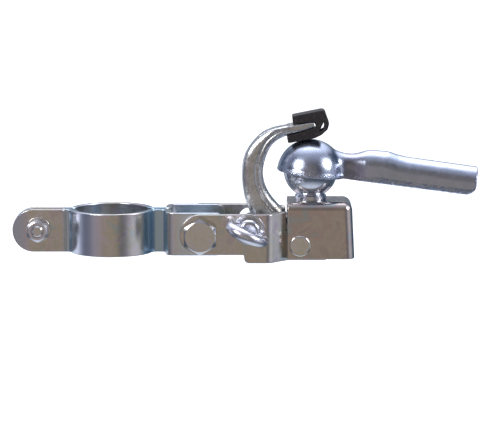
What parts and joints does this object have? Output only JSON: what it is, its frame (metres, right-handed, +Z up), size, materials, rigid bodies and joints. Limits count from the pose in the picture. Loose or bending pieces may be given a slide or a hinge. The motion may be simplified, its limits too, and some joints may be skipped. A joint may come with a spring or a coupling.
{
  "type": "light trailer ball hitch",
  "caption": "Strap clamp for a round tube with a tilting fork that carries a tow ball, a forged release hook, a pull-ring plunger and a cup-ended drawbar socket.",
  "frame": {"origin": "on the clamped tube's axis at the strap's mid-height", "axes": "+Z up along the clamped tube, +X towards the trailer, -Y the side of the pull ring"},
  "size_m": [0.2323, 0.0749, 0.0745],
  "materials": {
    "zinc_sheet": "bright zinc plated pressed sheet",
    "fastener_zinc": "bright zinc plated",
    "bright_zinc": "polished, zinc plated",
    "polished_zinc": "polished, zinc plated",
    "forged_zinc": "forged, zinc plated, grainy",
    "spring_steel": "drawn wire",
    "black_plastic": "matt black"
  },
  "bodies": {
    "clamp": {"clamp_front_half": "zinc_sheet", "clamp_rear_half": "zinc_sheet", "clamp_bolt": "fastener_zinc", "clamp_nut": "fastener_zinc", "clamp_washers": "fastener_zinc", "tilt_bolt": "fastener_zinc", "tilt_nut": "fastener_zinc", "tilt_washer": "fastener_zinc", "yoke_spacer": "fastener_zinc"},
    "coupler": {"coupler_arm_front": "zinc_sheet", "coupler_arm_rear": "zinc_sheet", "ball_housing": "zinc_sheet", "hook_pivot_pin": "fastener_zinc", "hook_spacers": "fastener_zinc", "plunger_sleeve": "bright_zinc", "plunger_nut": "fastener_zinc", "plunger_spring": "spring_steel"},
    "hook": {"release_hook": "forged_zinc", "hook_cap": "black_plastic"},
    "ball": {"tow_ball": "bright_zinc", "ball_lock_washer": "spring_steel", "ball_nut": "fastener_zinc"},
    "socket": {"drawbar_socket": "polished_zinc"},
    "plunger": {"lock_pin": "bright_zinc", "pull_ring": "bright_zinc"}
  },
  "joints": [
    {"name": "hitch_tilt", "type": "hinge", "parent": "clamp", "child": "coupler", "pos_m": [0.0444, 0, 0.0001], "axis": [0, 1, 0], "range_deg": [-45, 45]},
    {"name": "hook_swing", "type": "hinge", "parent": "coupler", "child": "hook", "pos_m": [0.0938, 0, -0.0062], "axis": [0, -1, 0], "range_deg": [0, 34]},
    {"name": "socket_yaw", "type": "hinge", "parent": "coupler", "child": "ball", "pos_m": [0.0992, 0, 0.0298], "axis": [0, 0, 1], "range_deg": [-100, 100]},
    {"name": "socket_pitch", "type": "hinge", "parent": "ball", "child": "socket", "pos_m": [0.0992, 0, 0.0298], "axis": [0, -1, 0], "range_deg": [-20, 20]},
    {"name": "plunger_pull", "type": "slide", "parent": "coupler", "child": "plunger", "axis": [0, -1, 0], "range_m": [0, 0.0055], "stiffness_N_per_m": 1200, "springref_m": -0.005, "deforming": ["plunger_spring"]}
  ]
}
